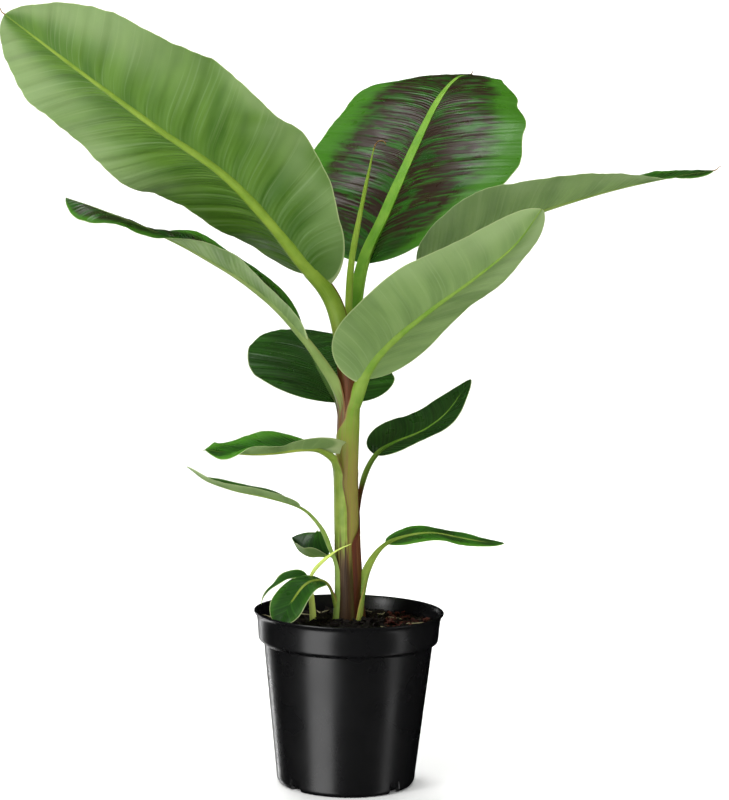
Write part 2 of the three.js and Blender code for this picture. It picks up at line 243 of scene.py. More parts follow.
# Each leaf: path is its middle line from the stem to the tip. blade is the share of the path where the
# blade starts. left and right are half widths; widest, base and tip shape the outline. fold is how far a
# half stands up from flat and curl how far its margin bends back, roll the turn about the middle line,
# all in degrees. An ear is how far a half reaches back past its base, slant the lean of the veins. stalk
# holds the stalk's radii, rib the rib's, both by stations. The sheath wraps the stem by `wrap` degrees to
# either side up to the height `leave`, `layer` outside the stem's own radius; a stalk with no such height
# comes straight out of the soil. sage, dark and blotch give the finish: how grey the underside is, how
# dark the upper face, how much it is blotched. creases and sway are the heights of the folds along the
# veins and of the margin's waves, in millimetres, and sways counts those waves. calm weakens the pleats of
# one half. What a leaf leaves out, it has from PLAIN_LEAF.
PLAIN_LEAF = dict(curl_left=[10], curl_right=[10], ear_left=0, ear_right=0, layer=0, calm=1.0)
LEAVES = {
    "upper_left": dict(
        path=[(-10, -4, 545), (-24, -10, 600), (-69, -45, 659), (-150, -115, 747), (-233, -170, 803),
              (-312, -215, 858), (-390, -250, 914)],
        blade=0.195, left=[86, 96, 110, 126, 136, 136, 132, 129, 125],
        right=[96, 98, 98, 114, 118, 114, 106, 124, 128], widest=0.5, base=3, tip=2.7,
        roll=[20, 24, 28], fold_left=[25, 12, 12], fold_right=[30, 12, 10], curl_left=[20],
        curl_right=[20], ear_left=34, slant=18, stalk=[13.5, 13, 11.2], calm=0.4,
        rib=[10.6, 7.2, 5.6, 4.4, 2.8, 1], leave=505, wrap=130, layer=-3, sage=0.1, dark=0.35,
        blotch=0.1, creases=1.5, sway=5, sways=3.5,
    ),
    "back": dict(
        path=[(0, 8, 565), (6, 30, 646), (34, 72, 718), (70, 140, 805), (104, 215, 880),
              (133, 295, 922), (158, 365, 938)],
        blade=0.17, left=[150, 150, 144, 140, 134, 120, 116], right=[176, 170, 162, 146, 114, 88, 40],
        widest=0.52, base=3.4, tip=2.6, roll=[0], fold_left=[30, 12, 8], fold_right=[20, 8, 4],
        curl_left=[20], curl_right=[20], slant=2, stalk=[9.5, 9, 8.5], rib=[8.5, 7.6, 6.2, 4.6, 2.8, 1],
        leave=525, wrap=120, layer=-4.6, sage=0.3, dark=0.3, blotch=1.1, creases=0.8, sway=4, sways=3,
    ),
    "far_right": dict(
        path=[(2, 2, 545), (28, -4, 609), (93, -10, 662), (166, -18, 699), (233, -25, 725),
              (298, -30, 746), (366, -38, 763), (434, -45, 775)],
        blade=0.26, left=[72], right=[80], widest=0.38, base=2.4, tip=1.8, roll=[0],
        fold_left=[15, 12, 20, 20], fold_right=[42, 38, 20, -15], slant=16, stalk=[8, 7, 5.5],
        rib=[5.5, 4.2, 3, 2, 0.8], leave=520, wrap=130, layer=-3.8, sage=0.85, dark=0.4, blotch=0.3,
        creases=0.9, sway=3, sways=3,
    ),
    "front_right": dict(
        path=[(4, -16, 465), (3, -9, 486), (17, -28, 522), (43, -62, 556), (92, -120, 600),
              (135, -165, 634), (180, -205, 674), (207, -232, 714)],
        blade=0.135, left=[68, 66, 63, 60, 62, 58, 60], right=[73], widest=0.42, base=3.6, tip=2.2,
        roll=[-28], fold_left=[30, 34, 34], fold_right=[6], ear_right=10, slant=20, stalk=[12, 9.5, 8],
        rib=[7.5, 5, 3.6, 2.6, 1.8, 0.8], leave=466, wrap=150, layer=-1.4, sage=0.9, dark=0.5,
        blotch=0.2, creases=0.5, sway=3, sways=2,
    ),
    "middle_left": dict(
        path=[(-15, -8, 483), (-30, -14, 520), (-74, -30, 576), (-125, -45, 621), (-186, -60, 658),
              (-249, -70, 688), (-309, -75, 711), (-350, -80, 724)],
        blade=0.22, left=[32, 44, 54, 60, 66], right=[42, 52, 58, 58, 58], widest=0.45, base=2.6,
        tip=2.8, roll=[0], fold_left=[22, 22, 18, -8, -42], fold_right=[52, 46, 32, 8, -6],
        curl_right=[15], ear_left=10, ear_right=4, slant=20, stalk=[11.5, 9.5, 7.5],
        rib=[7.5, 5.2, 3.8, 2.6, 1.8, 0.8], leave=474, wrap=140, layer=-2.2, sage=0.85, dark=0.3,
        blotch=0.7, creases=0.8, sway=4, sways=2.5,
    ),
    "low_back": dict(
        path=[(-8, 14, 440), (-18, 30, 472), (-32, 60, 494), (-47, 105, 517), (-61, 160, 540),
              (-71, 215, 557), (-77, 245, 566)],
        blade=0.17, left=[102, 94, 86, 84], right=[104], widest=0.42, base=2.8, tip=2.4, roll=[0],
        fold_left=[10], fold_right=[5], curl_left=[15], curl_right=[15], slant=12, stalk=[8, 5.5, 3.6],
        rib=[3.6, 2.6, 1.8, 1.2, 0.6], leave=425, wrap=110, layer=-0.8, sage=0.6, dark=0.9, blotch=0.15,
        creases=0.9, sway=3, sways=2.5,
    ),
    "low_right": dict(
        path=[(6, 8, 345), (12, 14, 373), (21, 22, 398), (34, 32, 416), (53, 42, 427), (77, 52, 436),
              (99, 62, 447), (124, 74, 468), (152, 88, 508)],
        blade=0.31, left=[52, 52, 44, 32], right=[34], widest=0.4, base=2.8, tip=1.9, roll=[28, 25, 20],
        fold_left=[0], fold_right=[25], slant=18, stalk=[5, 4, 3.4], rib=[3.4, 2.4, 1.8, 1.2, 0.6],
        leave=342, wrap=98, layer=0.6, sage=0.5, dark=1.0, blotch=0.1, creases=0.35, sway=1.5, sways=2,
    ),
    "low_left": dict(
        path=[(-10, -12, 345), (-17, -12, 403), (-23, -18, 413), (-34, -30, 420), (-47, -45, 425),
              (-67, -65, 425), (-96, -88, 422), (-122, -108, 422), (-146, -128, 425),
              (-172, -145, 429)],
        blade=0.37, left=[0, 30, 36, 40, 44], right=[36, 48, 46, 46, 46], widest=0.5, base=2.4, tip=3.6,
        roll=[0], fold_left=[8, 32, 28, 20, -18], fold_right=[30, 34, 30, 16, 0], ear_left=70,
        ear_right=10, slant=20, stalk=[10, 7.5, 4.8], rib=[4.8, 3.4, 2.4, 1.6, 0.8], leave=384, wrap=58,
        layer=-0.2, sage=0.9, dark=0.2, blotch=0.1, creases=0.5, sway=2, sways=2.5,
    ),
    "lower_left": dict(
        path=[(-14, -10, 265), (-26, -14, 301), (-39, -26, 328), (-61, -42, 351), (-98, -65, 365),
              (-140, -92, 376), (-172, -113, 389), (-195, -126, 407)],
        blade=0.4, left=[22], right=[30], widest=0.4, base=2.4, tip=2, roll=[0],
        fold_left=[22, 24, 20, 14], fold_right=[26, 23, 15], curl_left=[5], curl_right=[5], slant=20,
        stalk=[6.5, 4, 2.8], rib=[2.8, 2.2, 1.6, 1, 0.5], leave=0, wrap=110, sage=1.0, dark=0.6,
        blotch=0.2, creases=0.3, sway=1, sways=2,
    ),
    "small_back": dict(
        path=[(-10, 10, 250), (-15, 14, 270), (-22, 20, 282), (-36, 32, 281), (-52, 46, 278),
              (-66, 58, 283), (-77, 68, 298)],
        blade=0.38, left=[20], right=[36], widest=0.5, base=2.6, tip=3.4, roll=[0], fold_left=[48],
        fold_right=[68], slant=16, stalk=[5, 3.8, 2.8], rib=[2.8, 2, 1.3, 0.6], leave=0, wrap=110,
        sage=0.5, dark=0.8, blotch=0.0, creases=0.3, sway=1, sways=2,
    ),
    "lower_right": dict(
        path=[(9, -16, 200), (14, -14, 241), (22, -5, 272), (41, 16, 297), (68, 30, 308),
              (104, 40, 312), (142, 50, 305), (175, 56, 299), (199, 60, 298)],
        blade=0.43, left=[34], right=[29], widest=0.42, base=2.2, tip=1.8, roll=[14], fold_left=[0],
        fold_right=[6], slant=22, stalk=[8, 6.2, 3.2], rib=[3.2, 2.4, 1.8, 1.2, 0.6], leave=0, wrap=120,
        sage=0.6, dark=0.15, blotch=0.3, creases=0.35, sway=1, sways=2,
    ),
    "base_left": dict(
        path=[(-12, -10, 205), (-20, -12, 240), (-30, -14, 255), (-43, -25, 258), (-56, -36, 253),
              (-69, -49, 237), (-79, -60, 220), (-85, -66, 207)],
        blade=0.33, left=[21], right=[27], widest=0.6, base=2.2, tip=3, roll=[-14], fold_left=[6],
        fold_right=[5], slant=16, stalk=[6.5, 4, 3], rib=[3, 2.2, 1.6, 1, 0.5], leave=0, wrap=110,
        sage=0.5, dark=0.7, blotch=0.0, creases=0.3, sway=2, sways=1.5,
    ),
}
LEAVES = {name: PLAIN_LEAF | leaf for name, leaf in LEAVES.items()}

SOIL_TOP = 195
STEM = [(1, 0, SOIL_TOP - 4), (-1, 0, 240), (-4, 0, 300), (-7, 0, 382), (-6, 0, 455), (-6, 0, 520),
        (-9, 0, 570)]
STEM_RADII = [22, 18, 16.5, 16, 16, 15.5, 13]


def stem_axis(z):
    """The stem's middle at heights z."""
    x, y, height = np.array(STEM, float).T
    return np.stack([np.interp(z, height, x), np.interp(z, height, y), np.asarray(z, float)], -1)


def stem_radius(z):
    """The stem's radius at heights z."""
    return np.interp(z, [p[2] for p in STEM], STEM_RADII)


# ---------------------------------------------------------------- leaves


def outline(leaf, u):
    """Share of the full half width: one minus the distance from the widest place to a power, under a
    root, with powers of its own on the base side and the tip side."""
    near = (leaf["widest"] - u) / leaf["widest"]
    far = (u - leaf["widest"]) / (1 - leaf["widest"])
    before = np.clip(1 - np.clip(near, 0, 1) ** leaf["base"], 0, 1) ** 0.5
    after = np.clip(1 - np.clip(far, 0, 1) ** leaf["tip"], 0, 1) ** 0.62
    return np.where(u < leaf["widest"], before, after)


def heading(leaf):
    """The level direction a leaf heads in."""
    d = np.subtract(leaf["path"][-1], leaf["path"][0]).astype(float)
    d[2] = 0
    return d / np.linalg.norm(d)


# All in millimetres.
VEIN_TURN = 14.0  # within this of the rib a vein turns outwards
VEIN_SWEEP = 1500.0  # the larger, the straighter the veins towards the margin
CREASE_SPACING, SMALL_CREASE_SPACING = 27.0, 15.3
CREASE_WANDER, WANDER_LENGTH = 7.0, 41.0
HALF_SHIFT, HALF_OFFSET = 11.0, 90.0  # so that the two halves do not crease and swell alike


def blade_surface(leaf, rows, across, seed):
    """The blade as a function of u, from its base to its tip, and v, from one margin to the other.
    Each half leaves the rib at its fold and turns back by its curl; its width is the outline's. Along
    the face it is lifted by creases that run with the veins and by a long wave that grows to the margin."""
    u = (1 - np.cos(np.linspace(0.02, np.pi - 0.02, rows))) / 2
    share = leaf["blade"] + (1 - leaf["blade"]) * u
    centre, direction, length = along(leaf["path"], share)
    face, side = crossframe(direction, np.zeros(3), np.radians(eased(leaf["roll"], u)))
    rib = eased(leaf["rib"], u)[:, None]
    t = np.linspace(-1, 1, across)
    half = np.sin(np.abs(t) * np.pi / 2) ** 1.3
    right = t < 0
    shape = outline(leaf, u)[:, None]

    def of(key):
        """A measure of each half, from its stations."""
        one, other = (eased(leaf[key + half_name], u)[:, None] for half_name in ("right", "left"))
        return np.where(right, one, other)

    fold, bend = np.radians(of("fold_")), np.maximum(np.radians(of("curl_")), 1e-6)
    width = np.maximum(of("") * shape, rib * 0.6)
    out = (np.sin(fold) - np.sin(fold - bend * half)) / bend * width
    up = (np.cos(fold - bend * half) - np.cos(fold)) / bend * width
    w = width * half
    lean = math.tan(math.radians(leaf["slant"]))
    vein = (length * share)[:, None] - w * lean
    vein = vein - VEIN_TURN * (1 - np.exp(-w / VEIN_TURN)) - w**2 / VEIN_SWEEP
    x = vein + CREASE_WANDER * np.sin(vein / WANDER_LENGTH + seed) + np.where(right, HALF_SHIFT, 0.0)
    crease = (1 - np.abs(np.sin(np.pi * x / CREASE_SPACING))) ** 1.6
    crease = crease + 0.5 * (1 - np.abs(np.sin(np.pi * x / SMALL_CREASE_SPACING))) ** 1.6
    swell = ripple(vein + np.where(right, HALF_OFFSET, 0), seed, [61, 38, 21], [0.7, 0.5, 0.3])
    ridge = (0.9 * crease + swell) * leaf["creases"] * smooth(w / 30) * (1 - 0.4 * half**3)
    turn = np.where(right, 0.0, 1.3) + seed
    sway = leaf["sway"] * np.sin(TURN * leaf["sways"] * u[:, None] + turn) * half**2.5 * shape
    lift = up + ridge + sway - (0.75 - 0.4 * smooth(u * 3))[:, None] * rib
    sideways = np.where(right, 1, -1) * out
    back = np.where(right, leaf["ear_right"], leaf["ear_left"]) * (1 - smooth(u * 2.6))[:, None] * half**2.5
    surface = carried(centre, side, face, sideways, lift)
    surface = surface + (0.16 * UP - direction)[:, None] * back[..., None]
    full = np.ones(vein.shape)
    marks = dict(vein=vein, across=w * np.where(right, 1, -1), edge=full * half)
    return surface, marks | dict(length=full * u[:, None], margin=width * (1 - half))


def leaf_blade(name, leaf, rows, across, thickness, materials, seed):
    """A closed thin skin: the blade's surface moved half its thickness to either side along its normal."""
    surface, marks = blade_surface(leaf, rows, across, seed)
    normal = np.cross(np.gradient(surface, axis=1), np.gradient(surface, axis=0))
    normal /= np.maximum(np.linalg.norm(normal, axis=2, keepdims=True), 1e-9)
    face_up = np.sum(normal * UP) > 0
    normal = normal if face_up else -normal
    margin = (0.35 + 0.65 * (1 - marks["edge"] ** 6))[..., None]
    upper = surface + normal * thickness / 2 * margin
    lower = surface - normal * thickness / 2 * margin
    rings = np.concatenate([upper, lower[:, ::-1]], 1)
    index = np.concatenate([np.zeros(across - 1, int), np.ones(across + 1, int)])
    marks = {k: np.concatenate([m, m[:, ::-1]], 1) for k, m in marks.items()}
    for key in ("sage", "dark", "blotch"):
        marks[key] = np.full(marks["vein"].shape, leaf[key])
    calm = np.where(marks["across"] < 0, leaf["calm"], 1.0)
    fading = 1 - 0.7 * smooth((marks["length"] - 0.55) / 0.3)
    marks["pleat"] = min(leaf["creases"], 1.0) ** 1.5 * (calm * fading)
    return skin(name, rings, materials, index, marks, sharp=70)


BURIED = 4  # mm that a sheath starts below the soil's top
BEND = 24  # mm over which a limb turns from the stem's own way to its own
CLOSING = 42  # mm over which a sheath's margins draw together below its free stalk
OPENING = 50  # mm over which a free stalk takes its own round form
STALK_HALF = 97  # degrees of a free stalk's arc to either side of its crown


def sheath_line(leaf, z):
    """A sheath's middle at heights z: the stem's, set out towards the leaf until its stalk lies in it."""
    out = np.maximum(stem_radius(z) + leaf["layer"] - leaf["stalk"][0], 0)
    return stem_axis(z) + out[:, None] * heading(leaf)


def limb_path(leaf):
    """A limb's whole middle line, from below the soil's top to the leaf's tip, and its sheath's length.
    A leaf that leaves the stem follows it up to there; the others come straight out of the soil."""
    leave, path = leaf["leave"], leaf["path"]
    if leave:
        z = np.linspace(SOIL_TOP - BURIED, leave, 6)
        return [*sheath_line(leaf, z), *path[1:]], leave - SOIL_TOP + BURIED
    x, y, z = path[0]
    return [(x * 1.02, y * 1.02, SOIL_TOP - 5), (x, y, max(z, SOIL_TOP + 5)), *path[1:]], 0


def limb_section(radius, stalk, open_angle, free, wall, groove, phi):
    """A limb's section for each place on it: an arc from -open_angle to open_angle whose crown lies the
    stalk's radius outside the middle line, closed by an inner line. While the limb is a sheath that line
    is a thinner arc inside the first; when it is free it is a flat with a shallow groove."""
    angle = open_angle[:, None] * phi[None]
    r, set_in = radius[:, None], (radius - stalk)[:, None]
    outer_side, outer_face = r * np.sin(angle), set_in - r * np.cos(angle)
    thin = wall[:, None] * (1 - 0.8 * np.abs(phi[None]) ** 3)
    arc_side, arc_face = (r - thin) * np.sin(angle), set_in - (r - thin) * np.cos(angle)
    flat_side = 0.95 * outer_side[:, -1:] * phi[None]
    flat_face = outer_face[:, -1:] - (groove * stalk)[:, None] * (1 - phi[None] ** 2)
    mix = smooth(free * 1.6 - 0.6)[:, None]
    inner_side = arc_side * (1 - mix) + flat_side * mix
    inner_face = arc_face * (1 - mix) + flat_face * mix
    x = np.concatenate([outer_side, inner_side[:, ::-1]], 1)
    return x, np.concatenate([outer_face, inner_face[:, ::-1]], 1)


def leaf_stalk(name, leaf, materials, around=40):
    """A limb carried along the leaf's whole middle line: a thin wrap round the stem from the soil up, a
    grooved stalk and a tapering rib. The wrap's arc is the stem's own; its margins draw together until its
    chord is the stalk's width, then the arc closes round the stalk."""
    path, foot = limb_path(leaf)
    _, length = sampled(path)
    whole = length[-1]
    _, leaf_length = sampled(leaf["path"])
    blade = whole - leaf_length[-1] * (1 - leaf["blade"])
    mm = np.concatenate([np.linspace(0, foot, 70, endpoint=False) if foot else [0.0],
                         np.linspace(foot + 0.5, blade, 90, endpoint=False), np.linspace(blade, whole, 90)])
    centre, direction, _ = along(path, mm / whole)
    u = np.clip((mm - blade) / (whole - blade), 0, 1)
    stalk_share = np.clip((mm - foot) / (blade - foot), 0, 1)
    stalk = np.where(mm < blade, eased(leaf["stalk"], stalk_share), eased(leaf["rib"], u))
    if foot:
        centre = np.where(mm[:, None] < foot, sheath_line(leaf, centre[:, 2]), centre)
        upright = smooth((foot + BEND / 2 - mm) / BEND)[:, None]
        direction = direction * (1 - upright) + UP * upright
        direction /= np.linalg.norm(direction, axis=1, keepdims=True)
        free = smooth((mm - foot) / OPENING)
        shell = np.maximum(stem_radius(centre[:, 2]) + leaf["layer"], stalk)
        tight = np.degrees(np.arcsin(np.clip(leaf["stalk"][0] / shell, 0, 1)))
        drawn = smooth((mm - foot + CLOSING) / CLOSING)
        half = leaf["wrap"] * (1 - drawn) + tight * drawn
        half = half * (1 - free) + STALK_HALF * free
        chord = stalk / np.maximum(np.sin(np.radians(np.minimum(half, 90))), 0.1)
        radius = np.where(mm < foot, shell, np.maximum(np.minimum(chord, shell), stalk))
        wall = np.minimum(1.1 + 0.04 * radius, radius * 0.5)
    else:
        free, radius = smooth(mm / 90), stalk
        half = leaf["wrap"] * (1 - free) + STALK_HALF * free
        wall = np.minimum(1.1 + 0.04 * radius, radius * 0.5) + radius * 0.25
    roll = np.radians(eased(leaf["roll"], u)) * smooth(stalk_share)
    lean = (0.8 * (1 - free) + 1e-3)[:, None] * heading(leaf)[None]
    face, side = crossframe(direction, lean, roll)
    open_angle = np.radians(half)
    phi = np.linspace(-1, 1, around)
    groove = 0.5 * (1 - smooth(u * 3)) + 0.12
    x, y = limb_section(radius, stalk, open_angle, free, wall, groove, phi)
    rings = carried(centre, side, face, x, y)
    rim = (1 - np.abs(phi))[None] * radius[:, None] * open_angle[:, None] + 12 * smooth(u * 4)[:, None]
    turn = phi[None] * open_angle[:, None] * 16
    full = np.ones(x.shape)
    marks = dict(along=full * mm[:, None], free=full * free[:, None], height=rings[..., 2])
    marks["rim"] = np.concatenate([rim, rim[:, ::-1]], 1)
    marks["round"] = np.concatenate([turn, turn[:, ::-1] + 9], 1)
    return skin(name, rings, materials, None, marks, sharp=60)


# ---------------------------------------------------------------- materials

# The two measures, in millimetres, that a blade's veins and a stalk's fibres run by: over them, along them.
# Real veins lie about 1 mm apart and fibres 0.3 mm, too fine to show, so both are drawn coarser.
VEINS = ("vein", "across")
FIBRES = ("round", "along")
PLEAT_SPACING = 6.3
CLOUD_ROUGHNESS = 0.55
LAYER_SHADE = 110.0  # mm by which the height where a sheath ages wanders from strip to strip


def grain_noise(tree, grain, seed, fine, long, detail=2.0):
    """Noise stretched along a grain: `fine` mm over it, `long` mm along it."""
    over, run = (put(tree, [], "Attribute", "Fac", attribute_name=name) for name in grain)
    x = put(tree, [over, fine], "Math", operation="DIVIDE")
    y = put(tree, [run, long], "Math", operation="DIVIDE")
    place = put(tree, [x, y, seed], "CombineXYZ")
    inputs = {"Vector": place, "Scale": 1.0, "Detail": detail, "Roughness": CLOUD_ROUGHNESS}
    return put(tree, inputs, "TexNoise")


def cloud_noise(tree, lump, detail, roughness=CLOUD_ROUGHNESS):
    """Noise with no direction, its lumps `lump` mm across."""
    place = put(tree, [], "TexCoord", "Object")
    inputs = {"Vector": place, "Scale": 1 / (lump * MM), "Detail": detail, "Roughness": roughness}
    return put(tree, inputs, "TexNoise")


def thin_leaf(tree, surface, colour, share):
    """Lets light through: part of the surface passes it on, tinted by the leaf."""
    through = put(tree, {"Color": colour}, "BsdfTranslucent")
    mixed = put(tree, [share, surface.outputs[0], through], "MixShader")
    tree.links.new(mixed, tree.nodes["Material Output"].inputs["Surface"])


def pleats(tree, strength, distance):
    """The fine parallel pleats beside the rib and the veins between them, as a bump: a sine wave from vein
    to vein, pushed to and fro by noise and fading away from the rib, and noise as fine as the veins."""
    vein, across, pleat = (
        put(tree, [], "Attribute", "Fac", attribute_name=name) for name in ("vein", "across", "pleat")
    )
    away = put(tree, [across], "Math", operation="ABSOLUTE")
    near = put(tree, [away, 75.0, 8.0], **EASED_RANGE)
    push = put(tree, [grain_noise(tree, VEINS, 8.0, 60.0, 400.0, 0.0), 7.0], "Math", operation="MULTIPLY")
    phase = put(tree, [vein, TURN / PLEAT_SPACING, push], "Math", operation="MULTIPLY_ADD")
    wave = put(tree, [put(tree, [phase], "Math", operation="SINE"), near], "Math", operation="MULTIPLY")
    fine = put(tree, [grain_noise(tree, VEINS, 3.0, 4.5, 220.0, 0.0), 0.8], "Math", operation="MULTIPLY")
    both = put(tree, [wave, 0.4, fine], "Math", operation="MULTIPLY_ADD")
    height = put(tree, [both, pleat], "Math", operation="MULTIPLY")
    return put(tree, {"Height": height, "Strength": strength, "Distance": distance}, "Bump")


def leaf_upper(p):
    """Living leaf, upper face: waxy and smooth, so it shines in streaks. Deep green between fine
    parallel veins, brighter at the margin, wine-brown blotches along the veins on young leaves."""
    made, tree, surface = new_material("living_leaf_waxy_upper_face")
    edge, length, margin, dark, blotch = (
        put(tree, [], "Attribute", "Fac", attribute_name=name)
        for name in ("edge", "length", "margin", "dark", "blotch")
    )
    fine = grain_noise(tree, VEINS, 2.0, p.vein_spacing / MM, 160.0)
    wander = grain_noise(tree, VEINS, 4.0, 16.0, 40.0, 3.0)
    ragged = put(tree, [wander, 0.35, edge], "Math", operation="MULTIPLY_ADD")
    deep, outer, between, streak, patch, inner, past_base, veins, line, rough = (
        put(tree, span, **EASED_RANGE)
        for span in (
            [grain_noise(tree, VEINS, 1.0, 30.0, 90.0), 0.35, 0.65],
            [ragged, 0.72, 1.05],
            [fine, 0.35, 0.75],
            [grain_noise(tree, VEINS, 5.0, 6.0, 42.0, 3.0), 0.4, 0.52],
            [grain_noise(tree, VEINS, 6.0, 34.0, 46.0), 0.3, 0.46],
            [ragged, 1.0, 0.78],
            [length, 0.0, 0.12],
            [fine, 0.58, 0.74, 0.0, 0.22],
            [margin, 1.4, 0.6, 0.0, 0.7],
            [cloud_noise(tree, 25.0, 2.0), 0.3, 0.7, 0.26, 0.38],
        )
    )
    blotched = 0.92
    for share in (streak, patch, inner, past_base, blotch):
        blotched = put(tree, [share, blotched], "Math", operation="MULTIPLY")
    old = put(tree, {0: between, 6: p.leaf_dark, 7: p.leaf_deep_green}, **OVER)
    colour = p.leaf_green
    for share, tone in (
        (deep, p.leaf_deep_green), (outer, p.leaf_bright_green), (dark, old), (blotched, p.blotch_brown),
        (veins, p.leaf_bright_green), (line, p.margin_line),
    ):
        colour = put(tree, {0: share, 6: colour, 7: tone}, **OVER)
    wax = {"Base Color": colour, "Roughness": rough, "IOR": 1.45, "Specular IOR Level": 0.28}
    fill(tree, surface, wax | {"Normal": pleats(tree, 0.9, 0.0011)})
    thin_leaf(tree, surface, colour, 0.12)
    return made


def leaf_under(p):
    """Living leaf, underside: a thin bloom of wax greys and dulls it; light yellow-green where light
    comes through, the veins slightly raised and lighter, the margin paler. Towards the stalk a darker
    green is laid on as painted shade."""
    made, tree, surface = new_material("living_leaf_bloomed_underside")
    edge, length, margin, sage = (
        put(tree, [], "Attribute", "Fac", attribute_name=name)
        for name in ("edge", "length", "margin", "sage")
    )
    fine = grain_noise(tree, VEINS, 2.0, p.vein_spacing / MM, 200.0)
    broad, base, cloudy, outer, onward, tipward, tip_outer, veins, line, rough = (
        put(tree, span, **EASED_RANGE)
        for span in (
            [grain_noise(tree, VEINS, 1.0, 26.0, 120.0), 0.3, 0.7],
            # painted shade: the underside drawn darker green towards the stalk
            [length, 0.5, 0.0, 0.0, 0.6],
            [cloud_noise(tree, 142.86, 2.0), 0.4, 0.62],
            [edge, 0.35, 1.0],
            [length, 0.0, 0.4, 0.25, 0.65],
            [length, 0.45, 0.9, 0.0, 0.7],
            [edge, 0.1, 0.7],
            [fine, 0.52, 0.72, 0.0, 0.25],
            [margin, 1.6, 0.6, 0.0, 0.8],
            [cloud_noise(tree, 16.667, 2.0), 0.3, 0.7, 0.42, 0.56],
        )
    )
    grey = put(tree, {0: broad, 6: p.under_sage, 7: p.under_sage_deep}, **OVER)
    worn = put(tree, [cloudy, outer], "Math", operation="MULTIPLY")
    worn = put(tree, [worn, onward], "Math", operation="MULTIPLY")
    tips = put(tree, [tipward, tip_outer], "Math", operation="MULTIPLY")
    bloomed = put(tree, [worn, tips], "Math", operation="MAXIMUM")
    # The base share lays painted shade, a darker green, over the underside near the stalk.
    colour = p.under_yellow
    for share, tone in (
        (broad, p.under_green), (base, p.under_base_shade), (sage, grey), (bloomed, p.under_bloom),
        (veins, p.under_bloom), (line, p.margin_line),
    ):
        colour = put(tree, {0: share, 6: colour, 7: tone}, **OVER)
    bloom = {"Base Color": colour, "Roughness": rough, "IOR": 1.4}
    fill(tree, surface, bloom | {"Normal": pleats(tree, 0.7, 0.0012)})
    thin_leaf(tree, surface, colour, 0.3)
    return made


def leaf_stalk_skin(name, green, second, dry, aged, low, high, rim_mm, rim_free=0.15, stain_and_shade=0.0):
    """Leaf stalk and sheath: smooth watery tissue with fine lines along it, green where it is young.
    Below `low` mm it has aged to a second colour; the margins are dry paper, `rim_mm` wide. Near the
    soil it is darkened, partly by a soil stain and partly by painted shadow."""
    made, tree, surface = new_material(name)
    free, height, rim = (
        put(tree, [], "Attribute", "Fac", attribute_name=key) for key in ("free", "height", "rim")
    )
    lines = grain_noise(tree, FIBRES, 0.0, 1.3, 60.0, 3.0)
    bands = grain_noise(tree, FIBRES, 0.0, 5.0, 90.0)
    cloud = cloud_noise(tree, 33.333, 3.0)
    band_off = put(tree, [bands, 0.5], "Math", operation="SUBTRACT")
    cloud_off = put(tree, [cloud, 0.5], "Math", operation="SUBTRACT")
    broken = put(tree, [band_off, LAYER_SHADE, height], "Math", operation="MULTIPLY_ADD")
    ragged = put(tree, [cloud_off, rim_mm, rim], "Math", operation="MULTIPLY_ADD")
    patchy, lined, dried, ageing, papery, wrapped, stained_and_shaded, rough = (
        put(tree, span, **EASED_RANGE)
        for span in (
            [cloud, 0.35, 0.65],
            [lines, 0.42, 0.66, 0.0, 0.45],
            [lines, 0.35, 0.65],
            [broken, high, low],
            [ragged, rim_mm, rim_mm * 0.45],
            [free, 0.95, 0.6, rim_free, 0.95],
            # darker towards the soil: partly a soil stain, partly painted shadow
            [broken, 300.0, 252.0, 0.0, stain_and_shade],
            [cloud, 0.3, 0.7, 0.36, 0.5],
        )
    )
    old = put(tree, {0: dried, 6: linear(aged), 7: linear(dry)}, **OVER)
    paper = put(tree, [papery, wrapped], "Math", operation="MULTIPLY")
    colour = linear(green)
    for share, tone in (
        (patchy, linear(second)), (lined, linear(second)), (ageing, old), (paper, linear(dry)),
        # one dark brown for the soil stain and the painted shadow near the soil
        (stained_and_shaded, linear("#24130a")),
    ):
        colour = put(tree, {0: share, 6: colour, 7: tone}, **OVER)
    bump = put(tree, {"Height": lines, "Strength": 0.7, "Distance": 0.0006}, "Bump")
    tissue = {"Base Color": colour, "Roughness": rough, "IOR": 1.42, "Specular IOR Level": 0.3}
    fill(tree, surface, tissue | {"Normal": bump})
    return made


def moulded_plastic(p):
    """Polypropylene, injection moulded from a satin tool: near black, a soft broad shine with faint
    flow marks and handling dust."""
    made, tree, surface = new_material("moulded_black_polypropylene")
    cloud = cloud_noise(tree, 71.43, 3.0)
    dusty = put(tree, [cloud, 0.45, 0.75, 0.0, 0.35], **EASED_RANGE)
    colour = put(tree, {0: dusty, 6: p.plastic, 7: p.plastic_dust}, **OVER)
    rough = put(tree, [cloud, 0.3, 0.7, 0.25, 0.32], **EASED_RANGE)
    # The tool's own grain is about 0.1 mm, too fine to show, so it is drawn coarser.
    grain = cloud_noise(tree, 1.1111, 2.0)
    bump = put(tree, {"Height": grain, "Strength": 0.08, "Distance": 0.0002}, "Bump")
    fill(tree, surface, {"Base Color": colour, "Roughness": rough, "IOR": 1.4, "Normal": bump})
    return made


def granular(name, dark, light, crumb, roughness, distance):
    """Crumbly matter, broken and not worked: dull, its colour changing from crumb to crumb, which are
    `crumb` mm across."""
    made, tree, surface = new_material(name)
    grain = cloud_noise(tree, crumb, 5.0, 0.65)
    share = put(tree, [grain, 0.35, 0.7], **EASED_RANGE)
    colour = put(tree, {0: share, 6: linear(dark), 7: linear(light)}, **OVER)
    bump = put(tree, {"Height": grain, "Strength": 0.9, "Distance": distance}, "Bump")
    fill(tree, surface, {"Base Color": colour, "Roughness": roughness, "Normal": bump})
    return made


# ---------------------------------------------------------------- settings


def paint(name, hex_colour, description):
    """A colour setting."""
    start = linear(hex_colour)
    return FloatVectorProperty(name=name, description=description, subtype="COLOR", size=4, default=start)


def thickness(name, description, default, low):
    """A small length setting, its default and least value given in millimetres."""
    return FloatProperty(name=name, description=description, default=default * MM, min=low * MM,
                         unit="LENGTH", precision=5)


